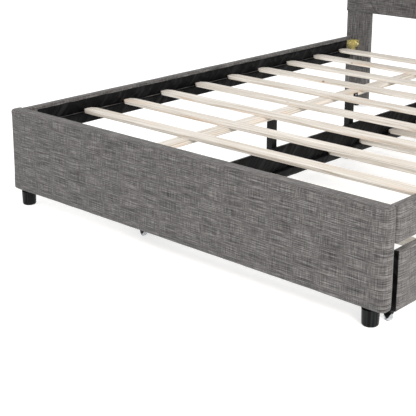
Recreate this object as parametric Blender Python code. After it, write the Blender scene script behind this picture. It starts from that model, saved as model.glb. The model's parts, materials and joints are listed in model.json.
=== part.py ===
"""Upholstered platform bed with a slatted pull-out trundle, as separate pieces.

Metres, +Z up.  +X is the side the trundle pulls out to, +Y points from the footboard to the
headboard.  The origin is on the floor, under the middle of the bed's width and length.
"""

import math

import bmesh
import bpy
from mathutils import Matrix, Vector

# Overall sizes
BED_WIDTH = 1.632            # footboard, end to end
FOOT_TO_POST = 2.101         # footboard front face to headboard post front face
HEADBOARD_TOP = 1.100
GAP = 0.0003                 # between pieces that touch
FIT = 0.002                  # between pieces that drop in beside each other

# Footboard and its feet
FOOTBOARD_THICK = 0.050
FOOTBOARD_BOTTOM = 0.051
FOOTBOARD_TOP = 0.361
FOOTBOARD_ROUND = 0.020
FOOT_TOP_RADIUS = 0.0262
FOOT_TIP_RADIUS = 0.0246
FOOT_EDGE_ROUND = 0.006
FOOT_INSET = 0.061           # foot centre to footboard end

# Side rails
RAIL_SET_IN = 0.003          # rail outer face behind the footboard end
RAIL_THICK = 0.033
RAIL_BOTTOM = 0.243
RAIL_TOP = 0.355
RAIL_ROUND = 0.007

# Ledges that carry the bed slats
LEDGE_WIDTH = 0.025
LEDGE_HEIGHT = 0.035

# Bed slats
SLAT_COUNT = 10
SLAT_WIDTH = 0.061
SLAT_THICK = 0.012
SLAT_TOP = 0.303
SLAT_FOOT_SPACE = 0.0035     # corner bracket to the first slat's edge
SLAT_HEAD_SPACE = 0.0220     # last slat's edge to corner bracket
SLAT_CLIP_LONG = 0.022       # clipped corners of a slat, along it and across it
SLAT_CLIP_WIDE = 0.014

# Support rail under the slats, and its legs
SUPPORT_WIDTH = 0.056
SUPPORT_THICK = 0.018
SUPPORT_END_SPACE = 0.012    # support rail end to footboard and to post
LEG_END_INSET = 0.085        # support rail end to the first and last leg's middle
LEG_MIDDLE_SPACE = 0.508     # between the two middle legs
LEG_MIDDLE_SHIFT = 0.0185    # the middle legs' shift from the rail's middle towards the foot
LEG_SIDE = 0.028
LEG_TO_TRUNDLE = 0.013       # between a leg and the trundle's back board
LEG_SHEET = 0.003            # steel sheet of the saddle on top of a leg
LEG_SADDLE_RISE = 0.014

# Headboard
POST_WIDTH = 0.135
POST_THICK = 0.030
POST_PAST = 0.006            # post's outer edge beyond the footboard's end
POST_BOTTOM = 0.010
POST_TOP_DROP = 0.030        # post top under the headboard's top
POST_ROUND = 0.004
GLIDE_RADIUS = 0.014
PAD_PROUD = 0.015            # headboard front face in front of the posts
PANEL_BOTTOM = 0.476
PANEL_ROUND = 0.006

# Corner brackets and their bolts
BRACKET_SHEET = 0.003
BRACKET_LONG = 0.054         # along the rail
BRACKET_WIDE = 0.038         # across the post or footboard, at the bolt
BRACKET_NARROW = 0.017       # the same, below the bolt
BRACKET_TAB = 0.036          # height of the wide part
BRACKET_HEIGHT = 0.076
BRACKET_DROP_HEAD = 0.017    # bracket top under the rail's top, at the posts
BRACKET_DROP_FOOT = 0.032    # the same at the footboard
BOLT_RADIUS = 0.004
BOLT_HEAD_RADIUS = 0.0085
BOLT_HEAD_HEIGHT = 0.0055
BOLT_DEPTH = 0.022           # shank in the post or footboard
BOLT_DROP = 0.020            # bolt under the bracket's top
BOLT_OFFSET = 0.027          # rail inner face to bolt

# Trundle
TRUNDLE_FOOT_GAP = 0.018     # footboard inner face to trundle front panel
TRUNDLE_HEAD_GAP = 0.016     # trundle front panel to headboard post
TRUNDLE_FRONT_SET_IN = 0.004
TRUNDLE_FRONT_THICK = 0.020
TRUNDLE_FRONT_RAISE = 0.0063 # front panel's lower edge above the other boards'
TRUNDLE_TO_RAIL = 0.0192     # front panel's upper edge under the side rail
TRUNDLE_FRONT_ROUND = 0.003
TRUNDLE_BOARD_THICK = 0.015
TRUNDLE_BOARD_HEIGHT = 0.132
TRUNDLE_BOARD_SET_IN = 0.002 # end boards behind the ends of the front panel
TRUNDLE_INSIDE_DEPTH = 0.987 # front panel inner face to back board inner face
TRUNDLE_LEDGE_WIDTH = 0.020
TRUNDLE_LEDGE_HEIGHT = 0.025
TRUNDLE_SLAT_COUNT = 9
TRUNDLE_SLAT_RAISE = 0.054   # slat tops above the boards' lower edges
TRUNDLE_SLAT_FOOT_SPACE = 0.1335   # end board to the first slat's edge
TRUNDLE_SLAT_HEAD_SPACE = 0.0300

# Casters
WHEEL_RADIUS = 0.013
WHEEL_WIDTH = 0.012
WHEEL_EDGE_ROUND = 0.002
AXLE_RADIUS = 0.002
AXLE_CLEARANCE = 0.0003
CHEEK_THICK = 0.002
CHEEK_CLEARANCE = 0.001      # between a wheel's side and a cheek
HOUSING_PLATE = 0.003
PLATE_CLEARANCE = 0.0017     # between a wheel's top and the plate over it
HOUSING_HALF_LENGTH = 0.014
AXLE_BOSS_RADIUS = 0.0048    # round end of a cheek, about the axle
CASTER_FRONT_INSET = 0.0150  # front wheel axis to the front panel's inner face
CASTER_BACK_OUTSET = 0.0115  # back wheel axis beyond the back board's inner face
CASTER_END_INSET = 0.0155    # wheel middle to the outer face of an end board

# Places that follow from the sizes above, still measured from the footboard front face
INNER_HALF = BED_WIDTH / 2 - RAIL_SET_IN - RAIL_THICK
POST_OUTER = BED_WIDTH / 2 + POST_PAST
PANEL_FRONT = FOOT_TO_POST - PAD_PROUD
POST_BACK = FOOT_TO_POST + POST_THICK
MIDDLE_Y = POST_BACK / 2
SLAT_BOTTOM = SLAT_TOP - SLAT_THICK
TRUNDLE_OUTER = BED_WIDTH / 2 - TRUNDLE_FRONT_SET_IN
TRUNDLE_INNER = TRUNDLE_OUTER - TRUNDLE_FRONT_THICK
TRUNDLE_BACK = TRUNDLE_INNER - TRUNDLE_INSIDE_DEPTH
TRUNDLE_START = FOOTBOARD_THICK + TRUNDLE_FOOT_GAP
TRUNDLE_END = FOOT_TO_POST - TRUNDLE_HEAD_GAP
BOARD_START = TRUNDLE_START + TRUNDLE_BOARD_SET_IN
BOARD_END = TRUNDLE_END - TRUNDLE_BOARD_SET_IN
BOARD_BOTTOM = 2 * WHEEL_RADIUS + PLATE_CLEARANCE + HOUSING_PLATE + GAP
BOARD_TOP = BOARD_BOTTOM + TRUNDLE_BOARD_HEIGHT
TRUNDLE_SLAT_TOP = BOARD_BOTTOM + TRUNDLE_SLAT_RAISE
SUPPORT_X = TRUNDLE_BACK - TRUNDLE_BOARD_THICK - LEG_TO_TRUNDLE - LEG_SIDE / 2
SUPPORT_START = FOOTBOARD_THICK + SUPPORT_END_SPACE
SUPPORT_END = FOOT_TO_POST - SUPPORT_END_SPACE


# Materials

def make_material(name, colour, roughness, metallic=0.0):
    material = bpy.data.materials.new(name)
    material.use_nodes = True
    shader = material.node_tree.nodes["Principled BSDF"]
    shader.inputs["Base Color"].default_value = (*colour, 1.0)
    shader.inputs["Roughness"].default_value = roughness
    shader.inputs["Metallic"].default_value = metallic
    return material


def grey_linen(name):
    return make_material(name + "_linen", (0.18, 0.17, 0.165), 0.9)


def black_lining(name):
    return make_material(name + "_lining", (0.012, 0.012, 0.013), 0.85)


def pale_pine(name):
    return make_material(name + "_pine", (0.78, 0.69, 0.57), 0.6)


def black_plastic(name):
    return make_material(name + "_plastic", (0.015, 0.015, 0.017), 0.4)


def clear_plastic(name):
    return make_material(name + "_clear", (0.70, 0.72, 0.74), 0.25)


def yellow_zinc(name):
    return make_material(name + "_zinc", (0.72, 0.58, 0.28), 0.3, 1.0)


def black_steel(name):
    return make_material(name + "_steel", (0.02, 0.02, 0.022), 0.45, 0.3)


# Building blocks.  Every point given to them is measured from the footboard front face.

def place(x, y, z):
    """A point in the bed's own frame, whose origin is under the middle of its length."""
    return Vector((x, y - MIDDLE_Y, z))


def finish(name, mesh_builder, material, origin=None, smooth=False):
    """Makes one object of a bmesh, with its origin at a place or at the bed's origin."""
    origin = origin or Vector((0.0, 0.0, 0.0))
    bmesh.ops.recalc_face_normals(mesh_builder, faces=mesh_builder.faces)
    bmesh.ops.translate(mesh_builder, verts=mesh_builder.verts, vec=-origin)
    mesh = bpy.data.meshes.new(name)
    mesh_builder.to_mesh(mesh)
    mesh_builder.free()
    if smooth:
        mesh.shade_smooth()
        mesh.set_sharp_from_angle(angle=math.radians(35.0))
    piece = bpy.data.objects.new(name, mesh)
    piece.location = origin
    piece.data.materials.append(material(name))
    bpy.context.scene.collection.objects.link(piece)
    return piece


def add_box(builder, low, high):
    """Adds a box between two corners to a bmesh and returns its edges."""
    middle = (low + high) / 2
    size = high - low
    matrix = Matrix.Translation(middle) @ Matrix.Diagonal((*size, 1.0))
    made = bmesh.ops.create_cube(builder, size=1.0, matrix=matrix)
    return list({edge for vertex in made["verts"] for edge in vertex.link_edges})


def box(name, low, high, material, round_edges=0.0, segments=2):
    """A box between two corners, given as (x, y, z), with rounded edges if asked."""
    builder = bmesh.new()
    edges = add_box(builder, place(*low), place(*high))
    if round_edges > 0.0:
        bmesh.ops.bevel(builder, geom=edges, offset=round_edges, segments=segments,
                        profile=0.5, affect="EDGES", clamp_overlap=True)
    return finish(name, builder, material, smooth=round_edges > 0.0)


def add_prism(builder, outline, low, high, axis):
    """Extrudes a flat outline of (u, v) points along X, Y or Z between two values."""
    order = {"X": lambda u, v, w: (w, u, v),
             "Y": lambda u, v, w: (u, w, v),
             "Z": lambda u, v, w: (u, v, w)}[axis]
    start = [builder.verts.new(place(*order(u, v, low))) for u, v in outline]
    end = [builder.verts.new(place(*order(u, v, high))) for u, v in outline]
    builder.faces.new(start)
    builder.faces.new(end)
    for index in range(len(outline)):
        following = (index + 1) % len(outline)
        builder.faces.new((start[index], start[following], end[following], end[index]))


def turned(name, profile, centre, axis, material, segments=32):
    """A solid turned from (radius, height) points about an axis through a place.

    The first and last points have radius 0, or the profile is a closed ring about the axis.
    """
    builder = bmesh.new()
    closed = profile[0][0] > 0.0
    points = [builder.verts.new((radius, 0.0, height)) for radius, height in profile]
    edges = [builder.edges.new(pair) for pair in zip(points, points[1:])]
    if closed:
        edges.append(builder.edges.new((points[-1], points[0])))
    bmesh.ops.spin(builder, geom=points + edges, angle=2 * math.pi, steps=segments,
                   axis=(0, 0, 1), cent=(0, 0, 0))
    bmesh.ops.remove_doubles(builder, verts=builder.verts, dist=1e-6)
    turn = Vector((0, 0, 1)).rotation_difference(Vector(axis)).to_matrix().to_4x4()
    bmesh.ops.transform(builder, matrix=Matrix.Translation(centre) @ turn, verts=builder.verts)
    return finish(name, builder, material, origin=centre, smooth=True)


def subtract(piece, cutter, label):
    """Cuts one shape out of a piece, and keeps it as a hidden guide."""
    cutter.hide_render = True
    cutter.display_type = "WIRE"
    cut = piece.modifiers.new(label, "BOOLEAN")
    cut.operation = "DIFFERENCE"
    cut.object = cutter


def drill(piece, centre, axis, radius, depth):
    """Drills a round hole from a place along an axis, with a Boolean cutter kept as a guide."""
    name = piece.name + "_drill"
    cutter = turned(name, [(0.0, 0.0), (radius, 0.0), (radius, depth), (0.0, depth)],
                    centre, axis, black_steel, segments=16)
    subtract(piece, cutter, "Drill")


def arc(centre_u, centre_v, radius, start, stop, steps):
    """Points on an arc from one angle to another, in degrees."""
    angles = [math.radians(start + (stop - start) * step / steps) for step in range(steps + 1)]
    return [(centre_u + radius * math.cos(a), centre_v + radius * math.sin(a)) for a in angles]


# Bed frame

def make_footboard():
    return box("footboard",
               (-BED_WIDTH / 2, 0.0, FOOTBOARD_BOTTOM),
               (BED_WIDTH / 2, FOOTBOARD_THICK, FOOTBOARD_TOP),
               grey_linen, FOOTBOARD_ROUND, segments=4)


def make_foot(side, sign):
    """A tapered foot under the footboard, screwed up into it."""
    height = FOOTBOARD_BOTTOM - GAP
    tip = arc(FOOT_TIP_RADIUS - FOOT_EDGE_ROUND, FOOT_EDGE_ROUND, FOOT_EDGE_ROUND, 270, 360, 3)
    profile = [(0.0, 0.0), *tip, (FOOT_TOP_RADIUS, height), (0.0, height)]
    centre = place(sign * (BED_WIDTH / 2 - FOOT_INSET), FOOTBOARD_THICK * 0.58, 0.0)
    turned("footboard_foot_" + side, profile, centre, (0, 0, 1), black_plastic)


def make_side_rail(side, sign):
    near = sign * INNER_HALF
    far = sign * (INNER_HALF + RAIL_THICK)
    box("side_rail_" + side,
        (min(near, far), FOOTBOARD_THICK + GAP, RAIL_BOTTOM),
        (max(near, far), FOOT_TO_POST - GAP, RAIL_TOP),
        grey_linen, RAIL_ROUND, segments=3)


def make_slat_ledge(side, sign):
    """A covered batten on the inside of a rail, between the corner brackets."""
    near = sign * (INNER_HALF - GAP)
    far = sign * (INNER_HALF - LEDGE_WIDTH)
    space = BRACKET_LONG + FIT
    box("slat_ledge_" + side,
        (min(near, far), FOOTBOARD_THICK + space, SLAT_BOTTOM - GAP - LEDGE_HEIGHT),
        (max(near, far), FOOT_TO_POST - space, SLAT_BOTTOM - GAP),
        black_lining, 0.002, segments=1)


def make_slat(name, start_x, end_x, middle_y, top):
    """A thin board with its four corners clipped."""
    half = SLAT_WIDTH / 2
    long_clip = SLAT_CLIP_LONG
    inner = half - SLAT_CLIP_WIDE
    outline = [(start_x, middle_y - inner), (start_x + long_clip, middle_y - half),
               (end_x - long_clip, middle_y - half), (end_x, middle_y - inner),
               (end_x, middle_y + inner), (end_x - long_clip, middle_y + half),
               (start_x + long_clip, middle_y + half), (start_x, middle_y + inner)]
    builder = bmesh.new()
    add_prism(builder, outline, top - SLAT_THICK, top, "Z")
    finish(name, builder, pale_pine)


def evenly(first, last, count):
    """Places from the first to the last, the same distance apart."""
    return [first + (last - first) * index / (count - 1) for index in range(count)]


def make_bed_slats():
    end = INNER_HALF - FIT
    first = FOOTBOARD_THICK + BRACKET_LONG + SLAT_FOOT_SPACE + SLAT_WIDTH / 2
    last = FOOT_TO_POST - BRACKET_LONG - SLAT_HEAD_SPACE - SLAT_WIDTH / 2
    for number, middle_y in enumerate(evenly(first, last, SLAT_COUNT), start=1):
        make_slat(f"bed_slat_{number:02d}", -end, end, middle_y, SLAT_TOP)


def make_support_rail():
    top = SLAT_BOTTOM - GAP
    box("support_rail",
        (SUPPORT_X - SUPPORT_WIDTH / 2, SUPPORT_START, top - SUPPORT_THICK),
        (SUPPORT_X + SUPPORT_WIDTH / 2, SUPPORT_END, top),
        pale_pine, 0.0015, segments=1)


def leg_places():
    """Where the support legs' middles stand, from the foot to the head."""
    middle = (SUPPORT_START + SUPPORT_END) / 2 - LEG_MIDDLE_SHIFT
    half = LEG_MIDDLE_SPACE / 2
    return (SUPPORT_START + LEG_END_INSET, middle - half, middle + half,
            SUPPORT_END - LEG_END_INSET)


def make_support_leg(number, middle_y):
    """A square steel leg whose saddle holds the support rail from below."""
    seat = SLAT_BOTTOM - 2 * GAP - SUPPORT_THICK
    half = LEG_SIDE / 2
    inner = SUPPORT_WIDTH / 2 + FIT / 2
    outer = inner + LEG_SHEET
    ear = seat + LEG_SADDLE_RISE
    base = seat - LEG_SHEET
    outline = [(-outer, base), (-half, base), (-half, 0.0), (half, 0.0), (half, base),
               (outer, base), (outer, ear), (inner, ear), (inner, seat),
               (-inner, seat), (-inner, ear), (-outer, ear)]
    builder = bmesh.new()
    add_prism(builder, [(SUPPORT_X + u, v) for u, v in outline],
              middle_y - half, middle_y + half, "Y")
    finish(f"support_leg_{number}", builder, black_steel)


# Headboard

def make_post(side, sign):
    near = sign * (POST_OUTER - POST_WIDTH)
    far = sign * POST_OUTER
    post = box("headboard_post_" + side,
               (min(near, far), FOOT_TO_POST, POST_BOTTOM),
               (max(near, far), POST_BACK, HEADBOARD_TOP - POST_TOP_DROP),
               grey_linen, POST_ROUND, segments=2)
    centre = place(sign * (POST_OUTER - POST_WIDTH / 2), FOOT_TO_POST + POST_THICK / 2, 0.0)
    height = POST_BOTTOM - GAP
    turned("post_glide_" + side,
           [(0.0, 0.0), (GLIDE_RADIUS * 0.9, 0.0), (GLIDE_RADIUS, height * 0.3),
            (GLIDE_RADIUS, height), (0.0, height)],
           centre, (0, 0, 1), black_plastic, segments=24)
    return post


def make_headboard_panel():
    """A pad that covers the posts from the front, with a core that fills the space between
    them and over their tops."""
    post_inner = POST_OUTER - POST_WIDTH - GAP
    pad_back = FOOT_TO_POST - GAP
    cap_bottom = HEADBOARD_TOP - POST_TOP_DROP + GAP
    builder = bmesh.new()
    edges = add_box(builder, place(-POST_OUTER, PANEL_FRONT, PANEL_BOTTOM),
                    place(POST_OUTER, pad_back, HEADBOARD_TOP))
    front = [edge for edge in edges
             if all(vertex.co.y < place(0, PANEL_FRONT, 0).y + GAP for vertex in edge.verts)]
    corners = [edge for edge in edges if abs(edge.verts[0].co.y - edge.verts[1].co.y) > GAP]
    bmesh.ops.bevel(builder, geom=front + corners, offset=PANEL_ROUND, segments=3,
                    profile=0.5, affect="EDGES", clamp_overlap=True)
    pad = finish("headboard_panel", builder, grey_linen, smooth=True)
    core = box("headboard_core_shape",
               (-post_inner, pad_back - PAD_PROUD / 2, PANEL_BOTTOM),
               (post_inner, POST_BACK, HEADBOARD_TOP - PANEL_ROUND),
               grey_linen)
    cap = box("headboard_cap_shape",
              (-POST_OUTER, pad_back - PAD_PROUD / 2, cap_bottom),
              (POST_OUTER, POST_BACK, HEADBOARD_TOP - PANEL_ROUND / 2),
              grey_linen)
    for guide in (core, cap):
        guide.hide_render = True
        guide.display_type = "WIRE"
        join = pad.modifiers.new("Join", "BOOLEAN")
        join.operation = "UNION"
        join.object = guide


# Corner hardware

def make_corner(end, side, sign, holder):
    """An angle bracket between a rail's inner face and the board or post at its end, with
    the bolt that holds it."""
    at_head = end == "head"
    face = FOOT_TO_POST if at_head else FOOTBOARD_THICK
    inward = -1.0 if at_head else 1.0
    base_u = sign * (INNER_HALF - GAP)
    base_v = face + inward * GAP
    step_u = -sign * BRACKET_SHEET
    step_v = inward * BRACKET_SHEET
    top = RAIL_TOP - (BRACKET_DROP_HEAD if at_head else BRACKET_DROP_FOOT)
    outline = [(base_u, base_v), (base_u - sign * BRACKET_WIDE, base_v),
               (base_u - sign * BRACKET_WIDE, base_v + step_v), (base_u + step_u, base_v + step_v),
               (base_u + step_u, base_v + inward * BRACKET_LONG),
               (base_u, base_v + inward * BRACKET_LONG)]
    builder = bmesh.new()
    add_prism(builder, outline, top - BRACKET_HEIGHT, top, "Z")
    bracket = finish(f"corner_bracket_{end}_{side}", builder, yellow_zinc)

    bolt_x = sign * (INNER_HALF - BOLT_OFFSET)
    bolt_z = top - BOLT_DROP
    outside = base_v + step_v + inward * GAP
    notch_u = (base_u - sign * BRACKET_NARROW, base_u - sign * (BRACKET_WIDE + FIT))
    notch_v = (base_v - step_v, base_v + 2 * step_v)
    notch = box(f"corner_notch_{end}_{side}",
                (min(notch_u), min(notch_v), top - BRACKET_HEIGHT - FIT),
                (max(notch_u), max(notch_v), top - BRACKET_TAB), yellow_zinc)
    subtract(bracket, notch, "Notch")
    shank = BOLT_DEPTH + BRACKET_SHEET + 2 * GAP
    head = arc(BOLT_HEAD_RADIUS - BOLT_HEAD_HEIGHT, 0.0, BOLT_HEAD_HEIGHT, 90, 0, 4)
    profile = [(0.0, -shank), (BOLT_RADIUS, -shank), (BOLT_RADIUS, 0.0),
               (BOLT_HEAD_RADIUS, 0.0), *head[::-1][1:], (0.0, BOLT_HEAD_HEIGHT)]
    turned(f"corner_bolt_{end}_{side}", profile, place(bolt_x, outside, bolt_z),
           (0, inward, 0), yellow_zinc, segments=24)
    hole = BOLT_RADIUS + GAP
    drill(bracket, place(bolt_x, base_v + inward * 2 * BRACKET_SHEET, bolt_z),
          (0, -inward, 0), hole, 4 * BRACKET_SHEET)
    drill(holder, place(bolt_x, face + inward * BRACKET_SHEET, bolt_z),
          (0, -inward, 0), hole, BRACKET_SHEET + BOLT_DEPTH + GAP)


# Trundle

def make_trundle_boards():
    box("trundle_front_panel",
        (TRUNDLE_INNER, TRUNDLE_START, BOARD_BOTTOM + TRUNDLE_FRONT_RAISE),
        (TRUNDLE_OUTER, TRUNDLE_END, RAIL_BOTTOM - TRUNDLE_TO_RAIL),
        grey_linen, TRUNDLE_FRONT_ROUND, segments=2)
    back_outer = TRUNDLE_BACK - TRUNDLE_BOARD_THICK
    box("trundle_back_board",
        (back_outer, BOARD_START, BOARD_BOTTOM),
        (TRUNDLE_BACK, BOARD_END, BOARD_TOP),
        black_lining, 0.002, segments=1)
    for name, start in (("trundle_foot_board", BOARD_START),
                        ("trundle_head_board", BOARD_END - TRUNDLE_BOARD_THICK)):
        box(name,
            (TRUNDLE_BACK + GAP, start, BOARD_BOTTOM),
            (TRUNDLE_INNER - GAP, start + TRUNDLE_BOARD_THICK, BOARD_TOP),
            black_lining, 0.002, segments=1)


def make_trundle_ledges():
    top = TRUNDLE_SLAT_TOP - SLAT_THICK - GAP
    start = BOARD_START + TRUNDLE_BOARD_THICK + GAP
    end = BOARD_END - TRUNDLE_BOARD_THICK - GAP
    for name, low_x in (("trundle_ledge_back", TRUNDLE_BACK + GAP),
                        ("trundle_ledge_front", TRUNDLE_INNER - GAP - TRUNDLE_LEDGE_WIDTH)):
        box(name, (low_x, start, top - TRUNDLE_LEDGE_HEIGHT),
            (low_x + TRUNDLE_LEDGE_WIDTH, end, top), black_lining, 0.002, segments=1)


def make_trundle_slats():
    edge = TRUNDLE_BOARD_THICK + SLAT_WIDTH / 2
    first = BOARD_START + TRUNDLE_SLAT_FOOT_SPACE + edge
    last = BOARD_END - TRUNDLE_SLAT_HEAD_SPACE - edge
    for number, middle_y in enumerate(evenly(first, last, TRUNDLE_SLAT_COUNT), start=1):
        make_slat(f"trundle_slat_{number}", TRUNDLE_BACK + FIT, TRUNDLE_INNER - FIT,
                  middle_y, TRUNDLE_SLAT_TOP)


def cheek_outline(centre_x):
    """Side view of a caster housing: a plate whose cheeks taper to round ends at the axle."""
    top = BOARD_BOTTOM - GAP
    low = top - HOUSING_PLATE
    left = centre_x - HOUSING_HALF_LENGTH
    right = centre_x + HOUSING_HALF_LENGTH
    return [(left, top), (left, low),
            *arc(centre_x, WHEEL_RADIUS, AXLE_BOSS_RADIUS, 200, 340, 8),
            (right, low), (right, top)]


def make_caster(place_name, centre_x, middle_y):
    """A fixed caster: plate, two cheeks and axle pin in one, and the wheel that turns on it."""
    top = BOARD_BOTTOM - GAP
    inner = WHEEL_WIDTH / 2 + CHEEK_CLEARANCE
    outer = inner + CHEEK_THICK
    builder = bmesh.new()
    outline = cheek_outline(centre_x)
    add_prism(builder, outline, middle_y - outer, middle_y + outer, "Y")
    housing = finish("caster_housing_" + place_name, builder, black_plastic)

    cutter_top = top - HOUSING_PLATE
    cutter = box(f"caster_{place_name}_wheel_space",
                 (centre_x - 2 * HOUSING_HALF_LENGTH, middle_y - inner, -WHEEL_RADIUS),
                 (centre_x + 2 * HOUSING_HALF_LENGTH, middle_y + inner, cutter_top),
                 black_plastic)
    pin = turned(f"caster_{place_name}_pin_shape",
                 [(0.0, -outer - CHEEK_THICK / 4), (AXLE_RADIUS, -outer - CHEEK_THICK / 4),
                  (AXLE_RADIUS, outer + CHEEK_THICK / 4), (0.0, outer + CHEEK_THICK / 4)],
                 place(centre_x, middle_y, WHEEL_RADIUS), (0, 1, 0), black_plastic, segments=16)
    for guide, operation in ((cutter, "DIFFERENCE"), (pin, "UNION")):
        guide.hide_render = True
        guide.display_type = "WIRE"
        shape = housing.modifiers.new(operation.title(), "BOOLEAN")
        shape.operation = operation
        shape.object = guide

    half = WHEEL_WIDTH / 2
    rim = WHEEL_RADIUS - WHEEL_EDGE_ROUND
    bore = AXLE_RADIUS + AXLE_CLEARANCE
    profile = [(bore, -half), *arc(rim, -half + WHEEL_EDGE_ROUND, WHEEL_EDGE_ROUND, 270, 360, 3),
               *arc(rim, half - WHEEL_EDGE_ROUND, WHEEL_EDGE_ROUND, 0, 90, 3), (bore, half)]
    turned("caster_wheel_" + place_name, profile,
           place(centre_x, middle_y, WHEEL_RADIUS), (0, 1, 0), clear_plastic, segments=40)


def make_casters():
    rows = (("foot", BOARD_START + CASTER_END_INSET), ("head", BOARD_END - CASTER_END_INSET))
    columns = (("front", TRUNDLE_INNER - CASTER_FRONT_INSET),
               ("back", TRUNDLE_BACK - CASTER_BACK_OUTSET))
    for end, middle_y in rows:
        for side, centre_x in columns:
            make_caster(f"{end}_{side}", centre_x, middle_y)


def clear_scene():
    for old in list(bpy.data.objects):
        bpy.data.objects.remove(old, do_unlink=True)


def main():
    clear_scene()
    footboard = make_footboard()
    for side, sign in (("left", -1.0), ("right", 1.0)):
        make_foot(side, sign)
        make_side_rail(side, sign)
        make_slat_ledge(side, sign)
        post = make_post(side, sign)
        make_corner("foot", side, sign, footboard)
        make_corner("head", side, sign, post)
    make_bed_slats()
    make_support_rail()
    for number, middle_y in enumerate(leg_places(), start=1):
        make_support_leg(number, middle_y)
    make_headboard_panel()
    make_trundle_boards()
    make_trundle_ledges()
    make_trundle_slats()
    make_casters()


main()
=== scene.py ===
"""Looks for an upholstered platform bed with a slatted pull-out trundle.

Laid out as an add-on and run as a script: each operator makes one piece or a group of like
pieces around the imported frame, which is loaded first and never moved.  Metres, +Z up.
"""

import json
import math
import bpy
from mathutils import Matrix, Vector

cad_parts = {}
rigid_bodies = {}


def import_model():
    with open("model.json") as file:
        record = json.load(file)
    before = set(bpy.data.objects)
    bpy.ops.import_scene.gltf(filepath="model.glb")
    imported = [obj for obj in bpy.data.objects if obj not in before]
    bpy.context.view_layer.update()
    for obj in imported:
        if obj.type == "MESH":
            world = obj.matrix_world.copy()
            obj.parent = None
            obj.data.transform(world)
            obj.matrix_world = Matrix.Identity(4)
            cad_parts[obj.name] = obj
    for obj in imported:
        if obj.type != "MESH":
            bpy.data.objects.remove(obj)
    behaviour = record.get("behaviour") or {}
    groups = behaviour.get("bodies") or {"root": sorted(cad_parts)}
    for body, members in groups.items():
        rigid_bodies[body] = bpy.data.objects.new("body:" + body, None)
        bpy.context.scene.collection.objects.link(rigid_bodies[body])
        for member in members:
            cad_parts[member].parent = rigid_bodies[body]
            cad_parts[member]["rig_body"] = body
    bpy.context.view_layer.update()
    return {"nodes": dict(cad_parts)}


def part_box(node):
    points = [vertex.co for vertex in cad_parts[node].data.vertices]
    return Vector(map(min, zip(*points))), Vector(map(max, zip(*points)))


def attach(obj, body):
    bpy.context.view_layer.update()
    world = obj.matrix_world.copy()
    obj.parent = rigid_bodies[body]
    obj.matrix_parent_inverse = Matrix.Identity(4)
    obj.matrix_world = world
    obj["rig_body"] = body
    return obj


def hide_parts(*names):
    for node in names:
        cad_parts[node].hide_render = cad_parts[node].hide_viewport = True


bl_info = {
    "name": "Upholstered bed with trundle",
    "version": (1, 0, 0),
    "blender": (4, 5, 0),
    "location": "View3D > Sidebar > Bed",
    "description": "Covers, timber, fittings and stage for a platform bed with a trundle",
    "category": "Object",
}

from functools import partial, wraps

import bmesh
import bpy
import numpy as np
from bpy.props import FloatProperty, FloatVectorProperty, IntProperty, PointerProperty
from bpy.types import Operator, Panel, PropertyGroup
from mathutils import Vector, noise

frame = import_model()

MM = 0.001
TINY = 1e-9
UP = (0, 0, 1)
WHITE = (1.0, 1.0, 1.0)
SIDES = (("left", -1.0), ("right", 1.0))


def linear(code):
    """Linear RGB of an sRGB hex colour."""
    parts = [int(code[i:i + 2], 16) / 255 for i in (1, 3, 5)]
    return tuple(c / 12.92 if c <= 0.04045 else ((c + 0.055) / 1.055) ** 2.4 for c in parts)


# Settings a user would change


def colour_property(name, code, description):
    return FloatVectorProperty(name=name, description=description, subtype="COLOR", size=3,
                               min=0.0, max=1.0, default=linear(code))


def length_property(name, default, description):
    return FloatProperty(name=name, description=description, default=default, min=0.0,
                         subtype="DISTANCE", unit="LENGTH")


class BedClothSettings(PropertyGroup):
    dark: colour_property("Dark yarn", "#242324", "Darkest yarn of the linen")
    middle: colour_property("Middle yarn", "#545252", "Most common yarn of the linen")
    light: colour_property("Light yarn", "#868483", "Lightest yarn of the linen")
    lining: colour_property("Lining", "#060607", "Non-woven lining on the inside faces")
    slub_long: length_property("Slub length", 0.090, "Length of a thick place in a yarn")
    slub_wide: length_property("Slub width", 0.0024, "Width of a thick place in a yarn")
    weave: length_property("Weave pitch", 0.0024, "Distance from one yarn to the next")
    swell: length_property("Swell", 0.003, "How far foam lifts the cover off the wood")
    seam_deep: length_property("Seam depth", 0.0034, "Depth of the headboard's sewn lines")
    seam_wide: length_property("Seam width", 0.0024, "Half width of a sewn line")
    facet_crown: length_property("Facet crown", 0.0022, "Rise of the foam between sewn lines")


class BedTimberSettings(PropertyGroup):
    pale: colour_property("Pale wood", "#eae7e2", "Early wood of planed pine")
    late: colour_property("Late wood", "#b3a797", "Darker lines of planed pine")
    blush: colour_property("Blush", "#dabca2", "Resin-tinted patches")
    knot: colour_property("Knot", "#7d5f49", "Small knots")
    easing: length_property("Edge easing", 0.0012, "Radius planed onto the slats' edges")


class BedFittingSettings(PropertyGroup):
    zinc: colour_property("Yellow zinc", "#e4dcb2", "Chromate finish of brackets and bolts")
    plastic: colour_property("Black plastic", "#08090a", "Feet, caps and caster housings")
    coat: colour_property("Powder coat", "#0c0d0e", "Finish of the steel legs")
    staple_pitch: length_property("Staple pitch", 0.045, "Distance between staples")
    stitch_pitch: length_property("Stitch pitch", 0.0062, "Distance between stitches")
    seed: IntProperty(name="Seed", description="Order of the random turns", default=7, min=0)


class BedStageSettings(PropertyGroup):
    floor: colour_property("Floor", "#c8c8c7", "Pale studio floor")
    lens: FloatProperty(name="Lens", description="Focal length of the camera in mm",
                        default=90.96, min=10.0, subtype="NONE")


# Nodes and finishes

MATHS = "ShaderNodeMath"
RAMP = "ShaderNodeValToRGB"
RANGE = "ShaderNodeMapRange"
MIX = "ShaderNodeMix"
BUMP = "ShaderNodeBump"
GRAIN = "ShaderNodeTexNoise"
AXES = "ShaderNodeSeparateXYZ"
THREE = "ShaderNodeCombineXYZ"


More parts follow.
